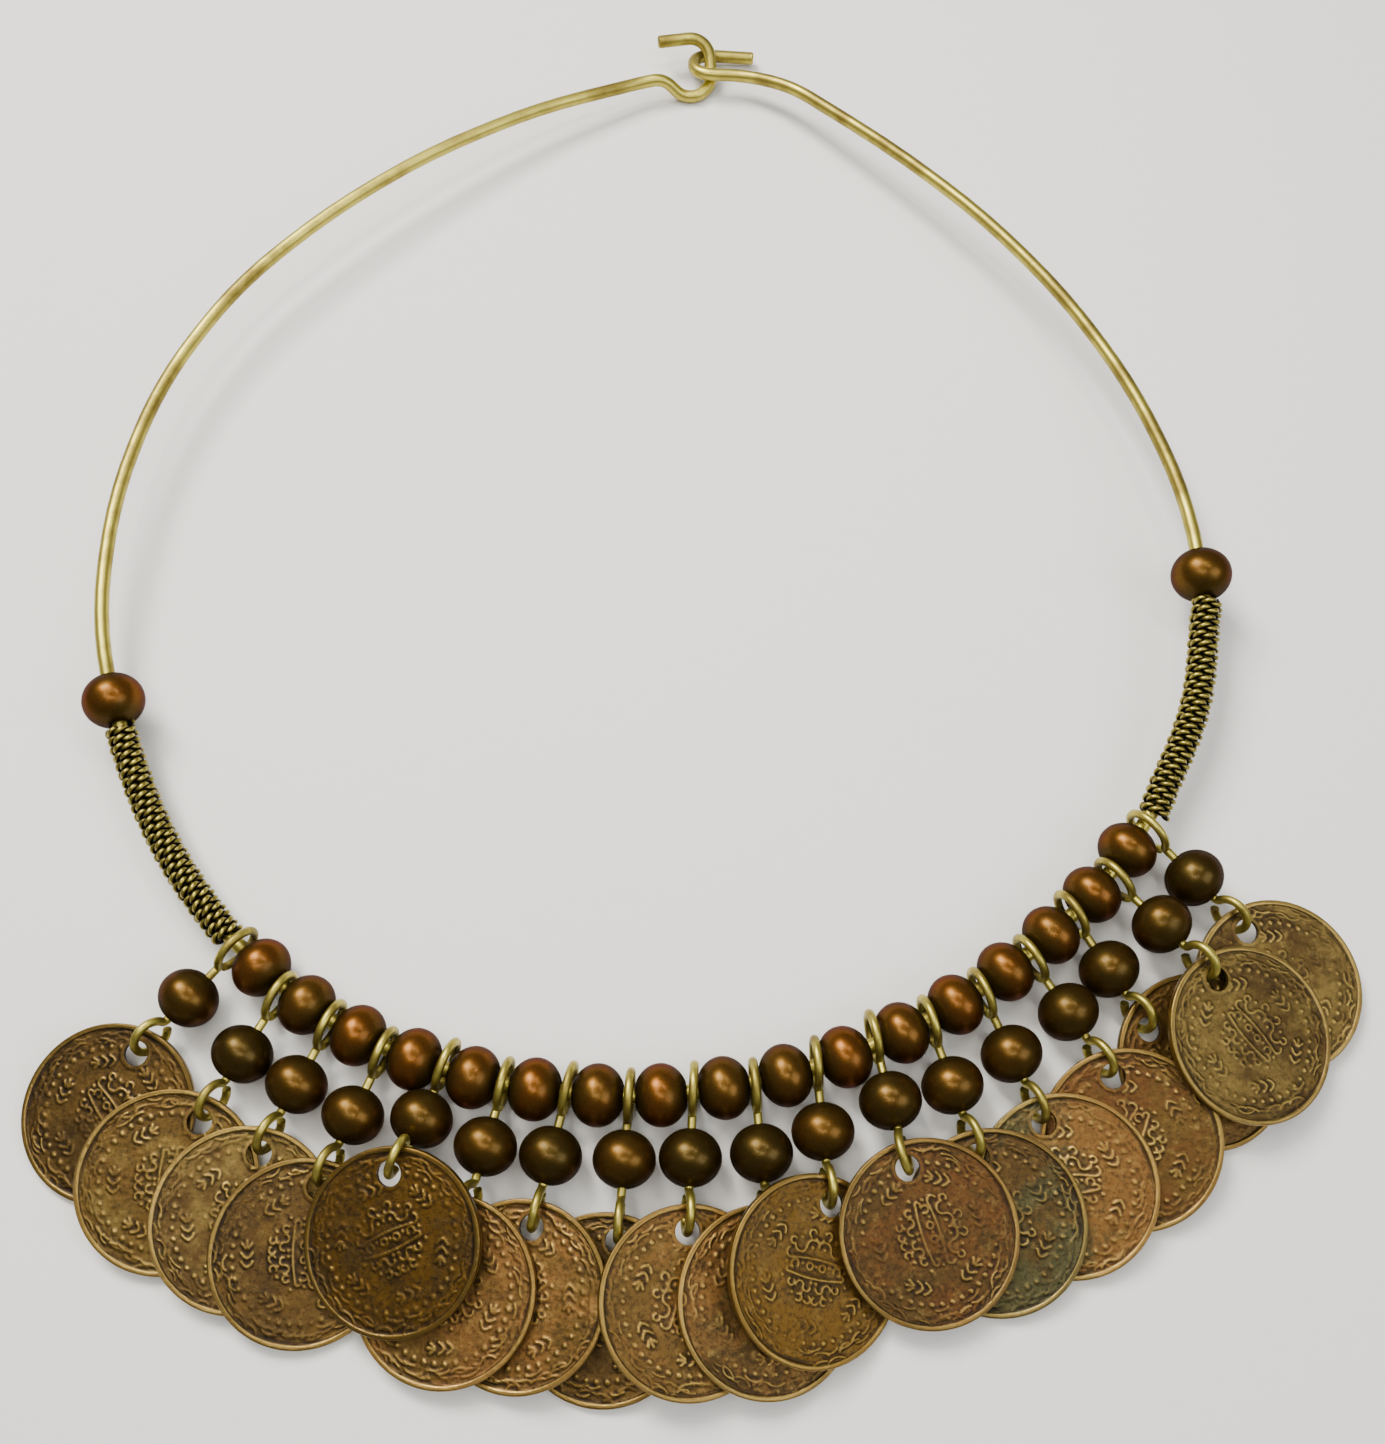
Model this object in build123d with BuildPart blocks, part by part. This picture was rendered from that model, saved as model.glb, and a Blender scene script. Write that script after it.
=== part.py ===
from build123d import *
import math
import os

from scipy.optimize import linprog

# Coin necklace: a stiff wire hoop hooked on itself at the back. Beads strung on its front
# hold eye wires apart, and each eye wire carries a drop bead and a pierced coin. It lies on
# a flat surface as it was laid down, with the coins piled over each other.
# X runs to the right, Y from the coins to the clasp, Z up from the surface. Millimetres.

# Neck hoop
hoop_radius = 70.0
hoop_side_height = 7.5
wire_diameter = 1.8
wire_end_chamfer = 0.2
string_place = 0.5335

# Beads on the neck wire
bead_count = 17
bead_diameter = 7.1
bead_length = 5.8
bead_hole = 2.2
bead_pitch = 7.14

# Wraps of coiled wire above the string, and the bead that ends each
wrap_diameter = 4.0
left_wrap_turns = 27
right_wrap_turns = 26
wrap_pitch = 1.13
wrap_bore = 2.2
wrap_groove = 0.35
wrap_gap = 1.3
end_bead_diameter = 7.5
end_bead_length = 6.5

# Eye wires and their drop beads
eye_wire_diameter = 1.0
end_ring_slack = 0.3
top_ring_radius = 2.7
bottom_ring_radius = 2.05
shank_length = 8.6
shank_bend = 0.6
turned_up_height = 3.6
drop_bead_diameter = 7.1
drop_bead_length = 6.2
drop_bead_hole = 1.5

# Coins
coin_diameter = 20.0
coin_thickness = 0.9
coin_hole = 2.8
coin_hole_inset = 2.9
rim_width = 0.55
relief_height = 0.1
edge_chamfer = 0.08

# Relief on a coin's face: a border of slanting strokes, a ring of dots, sprigs of three
# leaves, and a scroll of thin ribs in the middle
stroke_count = 26
stroke_ring_radius = 8.55
stroke_length = 1.9
stroke_width = 0.3
stroke_slant = 72
dot_count = 40
dot_ring_radius = 7.35
dot_diameter = 0.5
sprig_count = 8
sprig_ring_radius = 5.9
leaf_length = 1.1
leaf_width = 0.5
leaf_spread = 40
rib_width = 0.32

# The scroll: a pointed oval with four curls about it, as shares of the coin's radius.
# Columns: a curl's middle away from the hole and to the left, its radius, and its first
# angle and sweep in degrees.
oval_reach = 0.3
oval_bulge = 0.12
CURLS = [
    (0.09, 0.25, 0.1, 60, 250),
    (0.09, -0.25, 0.1, 50, 250),
    (-0.16, 0.22, 0.075, 100, 230),
    (-0.16, -0.22, 0.075, 30, 230),
]

# Clearances
bead_gap = 0.15
ring_gap = 0.12
pile_gap = 0.12

# How much further down a tilted coin reaches than its half thickness
tilt_allowance = 1.02

# Weight of the drop bead and eye wire that lifts with a bottom ring, as a share of a coin's
ring_share = 0.5

# How much of the shorter run beside a corner of the neck wire its arc takes
corner_share = 0.45

# The hoop's route past each bearing, clockwise from the clasp by way of the front.
# Columns: bearing from the front in degrees, reach from the middle as a share of
# hoop_radius, and height as a share of the way from the beads' height to the sides' height.
HOOP = [
    (-165, 1.003, 0.35),
    (-150, 0.953, 0.80),
    (-135, 0.940, 1.00),
    (-120, 0.962, 1.00),
    (-105, 0.985, 1.00),
    (-90, 1.005, 1.00),
    (-75, 1.034, 0.80),
    (-60, 1.048, 0.35),
    (-45, 1.080, 0.05),
    (-30, 1.096, 0.00),
    (-15, 1.087, 0.00),
    (0, 1.076, 0.00),
    (15, 1.063, 0.00),
    (30, 1.053, 0.00),
    (45, 1.051, 0.05),
    (60, 1.046, 0.35),
    (75, 1.024, 0.80),
    (90, 0.977, 1.00),
    (105, 0.936, 1.00),
    (120, 0.915, 1.00),
    (135, 0.919, 1.00),
    (150, 0.961, 0.80),
    (165, 1.064, 0.35),
]

# The two hooked ends, from the clasp point, in wire diameters.
# Columns: to the right, away from the coins, and height above the surface.
clasp_across = 0.086
clasp_along = 1.107
LEFT_HOOK = [
    (-3.75, 1.85, 2.65),
    (0.50, 2.55, 2.60),
    (0.75, -0.75, 0.65),
    (-0.40, -1.95, 0.50),
    (-1.75, -1.90, 0.50),
    (-3.30, -1.35, 1.90),
    (-5.20, -1.70, 1.75),
]
RIGHT_HOOK = [
    (3.70, -1.05, 1.90),
    (-0.75, -0.85, 1.90),
    (-0.75, 2.20, 0.95),
    (4.30, 1.95, 0.80),
]

# The pendants from left to right.
# Columns: place in the order that the coins were laid down, swing of the eye wire to the
# right in degrees, pull from -1 for slack to 1 for drawn out, place of the bead along its
# shank from 0 to 1, turn of the coin to the right in degrees, and twist of the bottom ring.
PENDANTS = [
    (1, 3, 0.4, 1.0, 18, 20),
    (2, 9, 0.9, 1.0, 3, 15),
    (3, 4, 0.4, 0.9, 15, 10),
    (4, -1, 0.5, 1.0, 10, 15),
    (8, -5, -0.5, 0.0, 26, 0),
    (7, -3, 0.0, 0.6, -1, 20),
    (6, -8, -0.4, 1.0, 3, 0),
    (5, -4, 0.0, 0.4, -8, 0),
    (9, -9, -0.3, 1.0, 5, -10),
    (10, -6, 0.3, 0.9, -7, -20),
    (11, -13, -0.3, 1.0, -20, -10),
    (16, -12, -0.8, 1.0, 7, 15),
    (15, -10, 0.2, 1.0, -3, -15),
    (14, -10, 0.4, 1.0, -4, -10),
    (13, -7, 0.5, 0.8, -17, -15),
    (12, -13, -0.1, 1.0, 31, -20),
    (18, -11, 0.8, 0.9, -8, -20),
    (17, -14, 0.7, 1.0, -12, -20),
]
turned_up_loop = 5


def corner_radii(points):
    """Radii that let each corner's arc use most of its two runs."""
    radii = []
    for before, corner, after in zip(points, points[1:], points[2:]):
        run_in = corner - before
        run_out = after - corner
        half_turn = math.radians(run_in.get_angle(run_out)) / 2
        radii.append(corner_share * min(run_in.length, run_out.length) / math.tan(half_turn))
    return radii


def hoop_points():
    """Route of the neck wire from one cut end to the other."""
    lying_height = bead_diameter / 2
    clasp = Vector(clasp_across * hoop_radius, clasp_along * hoop_radius, 0)
    points = [clasp + Vector(*hook) * wire_diameter for hook in LEFT_HOOK]
    for bearing, reach, rise in HOOP:
        angle = math.radians(bearing)
        height = lying_height + rise * (hoop_side_height - lying_height)
        across = reach * hoop_radius * math.sin(angle)
        along = -reach * hoop_radius * math.cos(angle)
        points.append(Vector(across, along, height))
    points += [clasp + Vector(*hook) * wire_diameter for hook in RIGHT_HOOK]
    return points


def bend_reach(ring_radius):
    """Distance from a ring's middle to where its shank starts to bend."""
    return math.sqrt(ring_radius**2 + 2 * ring_radius * shank_bend)


def level_point(point, direction, distance):
    return Vector(point.X + direction.X * distance, point.Y + direction.Y * distance, 0)


def neck_line():
    """The neck wire's middle line, as straight runs joined by arcs."""
    points = hoop_points()
    with BuildLine() as line:
        FilletPolyline(*points, radius=corner_radii(points))
    return line.wire()


route = neck_line()
string_middle = string_place * route.length


def station(offset):
    """Plane across the neck wire, some way along it from the middle of the string."""
    distance = string_middle + offset
    point = route.position_at(distance, position_mode=PositionMode.LENGTH)
    along = route.tangent_at(distance, position_mode=PositionMode.LENGTH)
    return Plane(origin=point, z_dir=along)


class Pendant:
    """Where one eye wire, its drop bead and its coin lie."""

    def __init__(self, number, row):
        self.laid, self.swing, self.pull, self.slide, self.turn, self.twist = row
        self.turned_up = number == turned_up_loop
        offset = (number - (len(PENDANTS) + 1) / 2) * bead_pitch
        if number == 1:
            offset -= end_ring_slack
        if number == len(PENDANTS):
            offset += end_ring_slack
        near_side = self.top_centre - self.pull * top_ring_radius
        offset -= near_side * math.sin(math.radians(self.swing))
        place = station(offset)
        level = Vector(place.z_dir.X, place.z_dir.Y, 0).normalized()
        self.point = place.origin
        self.outward = Vector(level.Y, -level.X, 0).rotate(Axis.Z, self.swing)
        self.coin_way = self.outward.rotate(Axis.Z, self.turn)
        self.pitch = 0.0
        self.lift = 0.0
        self.height = 0.0
        self.slopes = (0.0, 0.0)

    @property
    def plane(self):
        """The eye wire's own plane: X along its shank, Y up, from the neck wire's middle."""
        side = self.outward.cross(Vector(0, 0, 1))
        shank = self.outward.rotate(Axis((0, 0, 0), side), self.pitch)
        return Plane(origin=self.point, x_dir=shank, z_dir=side)

    @property
    def ring_plane(self):
        """The same plane, twisted about the shank as the bottom ring is."""
        shank = self.plane.x_dir
        normal = self.plane.z_dir.rotate(Axis((0, 0, 0), shank), self.twist)
        return Plane(origin=self.point, x_dir=shank, z_dir=normal)

    @property
    def top_centre(self):
        play = top_ring_radius - (eye_wire_diameter + wire_diameter) / 2 - ring_gap
        return self.pull * play

    @property
    def shank_end(self):
        return self.top_centre + top_ring_radius + shank_length

    @property
    def bottom_centre(self):
        if self.turned_up:
            return self.shank_end, turned_up_height
        return self.shank_end + bottom_ring_radius, 0.0

    @property
    def bead_place(self):
        """Distance from the neck wire to the middle of the drop bead."""
        first = self.top_centre + bend_reach(top_ring_radius)
        last = self.shank_end + bottom_ring_radius - bend_reach(bottom_ring_radius)
        seat = drop_bead_length / 2 + bead_gap
        return (first + seat) * (1 - self.slide) + (last - seat) * self.slide

    def ring_point(self, angle, radius=0.0):
        """A point about the bottom ring's middle, at an angle up from its far side."""
        along, up = self.bottom_centre
        turn = math.radians(angle)
        local = (along + radius * math.cos(turn), up + radius * math.sin(turn), 0)
        return self.ring_plane.from_local_coords(local)

    @property
    def hole(self):
        """Middle of the coin's hole, seen from above."""
        inner = bottom_ring_radius - eye_wire_diameter / 2
        slack = coin_hole_inset - inner + 2 * ring_gap
        drawn = inner + coin_hole / 2 - 2 * ring_gap
        reach = slack + (drawn - slack) * (self.pull + 1) / 2
        return level_point(self.ring_point(0), self.outward, reach)

    @property
    def hinge(self):
        """Middle of the strip between the coin's hole and its edge, seen from above."""
        return level_point(self.hole, self.coin_way, -(coin_hole_inset + coin_hole / 2) / 2)

    @property
    def centre(self):
        return level_point(self.hole, self.coin_way, coin_diameter / 2 - coin_hole_inset)

    def coin_height(self, point):
        """Height of the coin's middle plane over a point."""
        run = point - self.hinge
        return self.height + self.slopes[0] * run.X + self.slopes[1] * run.Y

    @property
    def coin_plane(self):
        """The coin's own plane: X from its hole to its middle, Z out of its face."""
        hole = self.hole + Vector(0, 0, self.coin_height(self.hole))
        rise = self.slopes[0] * self.coin_way.X + self.slopes[1] * self.coin_way.Y
        way = Vector(self.coin_way.X, self.coin_way.Y, rise).normalized()
        face = Vector(-self.slopes[0], -self.slopes[1], 1)
        middle = hole + way * (coin_diameter / 2 - coin_hole_inset)
        return Plane(origin=middle, x_dir=way, z_dir=face)


def rim_points(centre, steps=24):
    radius = coin_diameter / 2
    turns = [2 * math.pi * step / steps for step in range(steps)]
    return [centre + Vector(math.cos(turn), math.sin(turn), 0) * radius for turn in turns]


def level_gap(one, other):
    return math.hypot(one.X - other.X, one.Y - other.Y)


def hinge_play(pendant):
    """How far a coin's hinge may be above or below its ring's middle."""
    inner = bottom_ring_radius - eye_wire_diameter / 2 - 2 * ring_gap
    off_middle = abs((pendant.hinge - pendant.ring_point(0)).dot(pendant.outward))
    reach = off_middle + (coin_hole_inset - coin_hole / 2) / 2
    room = math.sqrt(max(inner**2 - reach**2, 0)) * math.cos(math.radians(pendant.twist))
    return max(room - coin_thickness / 2, 0)


def contacts(lower, upper):
    """Points where one coin or its ring lies over another, each with the least spacing."""
    radius = coin_diameter / 2
    seat = coin_thickness / 2 * tilt_allowance
    shared = [p for p in rim_points(upper.centre) if level_gap(p, lower.centre) < radius]
    shared += [p for p in rim_points(lower.centre) if level_gap(p, upper.centre) < radius]
    coin_on_coin = [(p, 2 * seat + pile_gap) for p in shared]
    half_wire = eye_wire_diameter / 2
    coin_on_ring = []
    ring_on_coin = []
    for angle in range(0, 181, 15):
        for out, margin in ((half_wire, 0), (0, half_wire)):
            above = lower.ring_point(angle, bottom_ring_radius + out)
            below = upper.ring_point(-angle, bottom_ring_radius + out)
            if level_gap(above, upper.centre) < radius + margin:
                coin_on_ring.append((above, seat + pile_gap))
            if level_gap(below, lower.centre) < radius + margin:
                ring_on_coin.append((below, seat + pile_gap))
    return coin_on_coin, coin_on_ring, ring_on_coin


def settle(pendants):
    """Let the whole pile down as low as it goes, each coin in its ring and clear of the rest.

    Each pendant has four unknowns: the height of its coin at the hinge, the coin's two
    slopes, and the lift of its ring. The least weight-height of the pile is where it rests.
    """
    order = sorted(pendants, key=lambda pendant: pendant.laid)
    for _ in range(2):
        rows = []
        limits = []
        cost = []
        bounds = []

        def coin(pendant, point, share):
            run = point - pendant.hinge
            return {(pendant, 0): share, (pendant, 1): share * run.X, (pendant, 2): share * run.Y}

        def at_least(terms, lowest):
            row = [0.0] * (4 * len(order))
            for (pendant, unknown), share in terms.items():
                row[4 * order.index(pendant) + unknown] -= share
            rows.append(row)
            limits.append(-lowest)

        for place, pendant in enumerate(order):
            run = pendant.centre - pendant.hinge
            cost += [1, run.X, run.Y, ring_share]
            bounds += [(0, None), (-1, 1), (-1, 1), (-pendant.lift, None)]
            play = hinge_play(pendant)
            ring_height = pendant.ring_point(0).Z
            at_least({(pendant, 0): 1, (pendant, 3): -1}, ring_height - play)
            at_least({(pendant, 0): -1, (pendant, 3): 1}, -ring_height - play)
            for point in rim_points(pendant.centre):
                at_least(coin(pendant, point, 1), coin_thickness / 2 * tilt_allowance)
            for lower in order[:place]:
                coin_on_coin, coin_on_ring, ring_on_coin = contacts(lower, pendant)
                for point, spacing in coin_on_coin:
                    at_least(coin(pendant, point, 1) | coin(lower, point, -1), spacing)
                for point, spacing in coin_on_ring:
                    terms = coin(pendant, point, 1) | {(lower, 3): -1}
                    at_least(terms, point.Z + spacing)
                for point, spacing in ring_on_coin:
                    terms = coin(lower, point, -1) | {(pendant, 3): 1}
                    at_least(terms, spacing - point.Z)
        answer = linprog(cost, A_ub=rows, b_ub=limits, bounds=bounds)
        for place, pendant in enumerate(order):
            height, slope_x, slope_y, more = answer.x[4 * place : 4 * place + 4]
            pendant.height = height
            pendant.slopes = (slope_x, slope_y)
            pendant.lift += more
            pendant.pitch = math.degrees(math.asin(pendant.lift / pendant.bottom_centre[0]))


def opening_angle(ring_radius):
    """Angle at a ring's middle between its shank and its open end."""
    return math.degrees(math.asin((eye_wire_diameter + ring_gap) / ring_radius))


def bend_angle(ring_radius):
    """Angle at a ring's middle between its shank and the bend that leads into the ring."""
    return math.degrees(math.atan2(shank_bend, bend_reach(ring_radius)))


def hang_pendants():
    """Hang the pendants between the beads, and lay their coins down one after another."""
    pendants = [Pendant(number, row) for number, row in enumerate(PENDANTS, start=1)]
    settle(pendants)
    return pendants


def drilled_bead(diameter, length, hole):
    """A round bead about the origin, drilled along Z."""
    with BuildPart() as bead:
        with BuildSketch(Plane.XZ):
            with BuildLine():
                ThreePointArc((hole / 2, -length / 2), (diameter / 2, 0), (hole / 2, length / 2))
                Line((hole / 2, length / 2), (hole / 2, -length / 2))
            make_face()
        revolve(axis=Axis.Z)
    return bead.part


def eye_wire_line(pendant):
    """Middle line of an eye wire: round the neck wire, along the shank, round the coin."""
    top = pendant.top_centre
    start = top + bend_reach(top_ring_radius)
    bend = bend_angle(top_ring_radius)
    opening = opening_angle(top_ring_radius)
    along, up = pendant.bottom_centre
    neck = bend_reach(bottom_ring_radius)
    stop = along - (shank_bend if pendant.turned_up else neck)
    with BuildLine(pendant.plane) as upper:
        CenterArc((top, 0), top_ring_radius, -opening, opening + bend - 360)
        CenterArc((start, shank_bend), shank_bend, 180 + bend, 90 - bend)
        Line((start, 0), (stop, 0))
    bend = bend_angle(bottom_ring_radius)
    opening = opening_angle(bottom_ring_radius)
    with BuildLine(pendant.ring_plane) as lower:
        if pendant.turned_up:
            CenterArc((stop, shank_bend), shank_bend, 270, 90)
            Line((along, shank_bend), (along, up - neck))
            CenterArc((along - shank_bend, up - neck), shank_bend, 0, 90 - bend)
            CenterArc((along, up), bottom_ring_radius, 270 - bend, opening + bend - 360)
        else:
            CenterArc((stop, shank_bend), shank_bend, 270, 90 - bend)
            CenterArc((along, up), bottom_ring_radius, 180 - bend, opening + bend - 360)
    return Wire(upper.edges() + lower.edges())


pendants = hang_pendants()
pieces = {}

# Neck wire, hooked on itself
with BuildPart() as neck_wire:
    with BuildSketch(Plane(origin=route @ 0, z_dir=route % 0)):
        Circle(wire_diameter / 2)
    sweep(path=route)
    chamfer(neck_wire.faces().filter_by(GeomType.PLANE).edges(), wire_end_chamfer)
pieces["neck_wire"] = neck_wire.part

# Beads on the neck wire
neck_bead = drilled_bead(bead_diameter, bead_length, bead_hole)
bead_places = [(number - (bead_count - 1) / 2) * bead_pitch for number in range(bead_count)]
with BuildPart() as neck_beads:
    with Locations(*[station(place) for place in bead_places]):
        add(neck_bead)
pieces["neck_beads"] = neck_beads.part

# A wrap on each side of the string, and the bead beyond it
end_bead = drilled_bead(end_bead_diameter, end_bead_length, bead_hole)
last_ring = (len(PENDANTS) - 1) / 2 * bead_pitch + end_ring_slack
wrap_start = last_ring + eye_wire_diameter / 2 + wrap_gap
groove_radius = wrap_diameter / 2 - wrap_groove
for name, side, turns in (("left", -1, left_wrap_turns), ("right", 1, right_wrap_turns)):
    wrap_length = turns * wrap_pitch
    with BuildPart() as wrap:
        for turn in range(turns):
            with BuildSketch(station(side * (wrap_start + turn * wrap_pitch))):
                Circle(groove_radius)
            with BuildSketch(station(side * (wrap_start + (turn + 0.5) * wrap_pitch))):
                Circle(wrap_diameter / 2)
        with BuildSketch(station(side * (wrap_start + wrap_length))):
            Circle(groove_radius)
        loft()
        bored = [string_middle + side * (wrap_start - wrap_pitch)]
        bored.append(string_middle + side * (wrap_start + wrap_length + wrap_pitch))
        bore = route.trim(min(bored) / route.length, max(bored) / route.length)
        with BuildSketch(Plane(origin=bore @ 0, z_dir=bore % 0)):
            Circle(wrap_bore / 2)
        sweep(path=bore, mode=Mode.SUBTRACT)
    pieces["wrap_" + name] = wrap.part
    end_bead_place = wrap_start + wrap_length + bead_gap + end_bead_length / 2
    with BuildPart() as outer_bead:
        with Locations(station(side * end_bead_place)):
            add(end_bead)
    pieces["end_bead_" + name] = outer_bead.part

# Drop beads
drop_bead = drilled_bead(drop_bead_diameter, drop_bead_length, drop_bead_hole)
bead_planes = []
for pendant in pendants:
    middle = pendant.plane.from_local_coords((pendant.bead_place, 0, 0))
    bead_planes.append(Plane(origin=middle, z_dir=pendant.plane.x_dir))
with BuildPart() as drop_beads:
    with Locations(*bead_planes):
        add(drop_bead)
pieces["drop_beads"] = drop_beads.part

# Eye wires
for number, pendant in enumerate(pendants, start=1):
    line = eye_wire_line(pendant)
    with BuildPart() as drop_wire:
        with BuildSketch(Plane(origin=line @ 0, z_dir=line % 0)):
            Circle(eye_wire_diameter / 2)
        sweep(path=line)
    pieces[f"drop_wire_{number:02d}"] = drop_wire.part

# One coin, lying at the origin with its hole toward -X
coin_radius = coin_diameter / 2
field_height = coin_thickness / 2 - relief_height
oval_tip = (oval_reach * coin_radius, 0)
oval_heel = (-oval_reach * coin_radius, 0)
with BuildPart() as coin:
    with BuildSketch(Plane.XY.offset(-coin_thickness / 2)):
        Circle(coin_radius)
    extrude(amount=coin_thickness)
    chamfer(coin.edges(), edge_chamfer)
    with BuildSketch(Plane.XY.offset(field_height), Plane.XY.offset(-field_height)):
        Circle(coin_radius - rim_width)
    extrude(amount=relief_height, mode=Mode.SUBTRACT)
    with BuildSketch(Plane.XY.offset(field_height)):
        with PolarLocations(stroke_ring_radius, stroke_count):
            SlotOverall(stroke_length, stroke_width, rotation=stroke_slant)
        with PolarLocations(dot_ring_radius, dot_count):
            Circle(dot_diameter / 2)
        with PolarLocations(sprig_ring_radius, sprig_count, start_angle=180 / sprig_count):
            Ellipse(leaf_length / 2, leaf_width / 2)
            with Locations((-leaf_length / 3, leaf_length / 2)):
                Ellipse(leaf_length / 2, leaf_width / 2, rotation=leaf_spread)
            with Locations((-leaf_length / 3, -leaf_length / 2)):
                Ellipse(leaf_length / 2, leaf_width / 2, rotation=-leaf_spread)
    extrude(amount=relief_height)
    with BuildSketch(Plane.XY.offset(field_height)):
        with BuildLine():
            ThreePointArc(oval_heel, (0, oval_bulge * coin_radius), oval_tip)
            ThreePointArc(oval_tip, (0, -oval_bulge * coin_radius), oval_heel)
            for along, left, radius, first, sweep in CURLS:
                middle = (along * coin_radius, left * coin_radius)
                CenterArc(middle, radius * coin_radius, first, sweep)
        trace(line_width=rib_width)
    extrude(amount=relief_height)
    with Locations((coin_hole_inset - coin_radius, 0)):
        Hole(coin_hole / 2)

for number, pendant in enumerate(pendants, start=1):
    with BuildPart() as hung_coin:
        with Locations(pendant.coin_plane):
            add(coin.part)
    pieces[f"coin_{number:02d}"] = hung_coin.part

# The origin is under the middle of the whole piece, on the surface that it lies on
box = Compound(list(pieces.values())).bounding_box()
to_origin = Location((-box.center().X, -box.center().Y, -box.min.Z))
print("moved by", to_origin.position)
os.makedirs("parts", exist_ok=True)
for name, piece in pieces.items():
    standing = piece.moved(to_origin)
    standing.label = name
    export_step(standing, f"parts/{name}.step")
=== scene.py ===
"""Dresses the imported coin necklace: struck coins, antiqued copper beads, coiled wraps and brass wire.

Metres throughout. X runs to the right, Y from the coins to the clasp, Z up from the surface.
"""

import math
from collections import namedtuple

import bpy
import numpy as np
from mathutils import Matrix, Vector


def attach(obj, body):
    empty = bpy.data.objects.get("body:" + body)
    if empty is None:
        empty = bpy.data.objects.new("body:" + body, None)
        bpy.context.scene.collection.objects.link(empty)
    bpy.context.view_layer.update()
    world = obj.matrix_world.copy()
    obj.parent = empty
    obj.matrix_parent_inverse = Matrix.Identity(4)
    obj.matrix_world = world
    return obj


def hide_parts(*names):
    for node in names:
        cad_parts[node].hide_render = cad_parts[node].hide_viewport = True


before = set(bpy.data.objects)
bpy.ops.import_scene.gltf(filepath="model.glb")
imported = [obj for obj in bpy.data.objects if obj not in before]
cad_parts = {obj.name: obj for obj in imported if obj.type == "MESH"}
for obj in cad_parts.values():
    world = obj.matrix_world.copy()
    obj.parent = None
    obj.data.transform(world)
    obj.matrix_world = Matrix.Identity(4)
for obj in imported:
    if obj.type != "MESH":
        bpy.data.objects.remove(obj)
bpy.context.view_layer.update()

MM = 0.001

# Edges sharper than this stay crisp, on new pieces and on CAD nodes
piece_crease = math.radians(60)
node_crease = math.radians(50)

# Coins, at the source's own sizes
coin_radius = 10.0 * MM
coin_thickness = 0.9 * MM
coin_hole_radius = 1.4 * MM
coin_rim_width = 0.55 * MM
coin_edge_chamfer = 0.08 * MM
cad_relief = 0.1 * MM

# Coins, where they differ from the source: how deep their relief is, how wide the slopes of their
# rims are in front and behind, and how many points a face has each way
coin_relief = 0.16 * MM
front_rim_slope = 0.12 * MM
back_rim_slope = 0.06 * MM
coin_grid = 140

# Beads
neck_hole_radius = 1.1 * MM
drop_hole_radius = 0.75 * MM
bead_hole_lip = 0.16 * MM
bead_sides = 48
bead_bands = 26
bead_shade_seed = 12

# Wraps
left_wrap_turns = 27
right_wrap_turns = 26
wrap_pitch = 1.13 * MM
wrap_outer_radius = 1.98 * MM
strand_radius = 0.29 * MM
strand_offset = 0.28 * MM
strand_sides = 8
steps_per_turn = 44
twists_per_turn = 3.7
wrap_slices = 27
wrap_line_degree = 4

# Each coin's look. Columns: dirt is how dark its field is and rub how bright its worn relief is,
# both 0 to 1. Main is its tone, patch the tone of its patches and share how much of the face
# they take. Bearing is the side that they keep to and hold how strictly. Turn is how far the
# ornament is turned. Bearing and turn are in degrees, from the side away from the hole to the
# right.
CoinLook = namedtuple("CoinLook", "dirt rub main patch share bearing hold turn")
COINS = {
    1: (0.85, 0.40, "walnut", "bronze", 0.40, 180, 0.2, 60),
    2: (0.60, 0.75, "bronze", "brass", 0.40, 60, 0.3, 25),
    3: (0.60, 0.85, "walnut", "brass", 0.50, 150, 0.3, 80),
    4: (0.75, 0.60, "walnut", "bronze", 0.30, 90, 0.2, 15),
    5: (0.60, 0.25, "olive", "walnut", 0.40, -60, 0.3, 110),
    6: (0.50, 0.70, "bronze", "copper", 0.55, 90, 0.4, 45),
    7: (0.50, 0.70, "copper", "bronze", 0.50, 120, 0.2, 130),
    8: (0.75, 0.40, "walnut", "bronze", 0.30, 0, 0.2, 70),
    9: (0.55, 0.70, "copper", "bronze", 0.55, -90, 0.3, 150),
    10: (0.45, 1.00, "copper", "walnut", 0.40, 0, 0.6, 35),
    11: (0.60, 0.45, "olive", "bronze", 0.35, 160, 0.4, 95),
    12: (0.60, 0.55, "russet", "walnut", 0.45, -80, 0.3, 0),
    13: (0.70, 0.45, "walnut", "verdigris", 0.40, 0, 0.7, 20),
    14: (0.45, 0.85, "copper", "verdigris", 0.40, -110, 0.9, 75),
    15: (0.40, 0.85, "russet", "bronze", 0.45, 60, 0.3, 140),
    16: (0.30, 0.50, "bronze", "russet", 0.30, 180, 0.2, 50),
    17: (0.50, 0.80, "walnut", "brass", 0.45, -150, 0.2, 10),
    18: (0.40, 0.95, "walnut", "brass", 0.50, 90, 0.3, 65),
}

# Metal tones as red, green and blue, 0 to 255
TONES = {
    "brass": (104, 84, 38),
    "rubbed brass": (164, 136, 72),
    "bronze": (87, 64, 24),
    "olive": (90, 63, 14),
    "walnut": (69, 50, 19),
    "russet": (86, 55, 21),
    "copper": (107, 74, 32),
    "verdigris": (66, 62, 35),
    # Soot: dark dirt on coins and beads, and also the painted shade deep between the coiled strands
    "soot and shade": (22, 15, 7),
    "drawn brass": (182, 168, 77),
    "tarnished brass": (120, 104, 46),
    "bead red": (100, 61, 22),
    "bead umber": (86, 60, 22),
    "bead olive": (64, 50, 20),
    "floor": (226, 224, 220),
}


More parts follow.
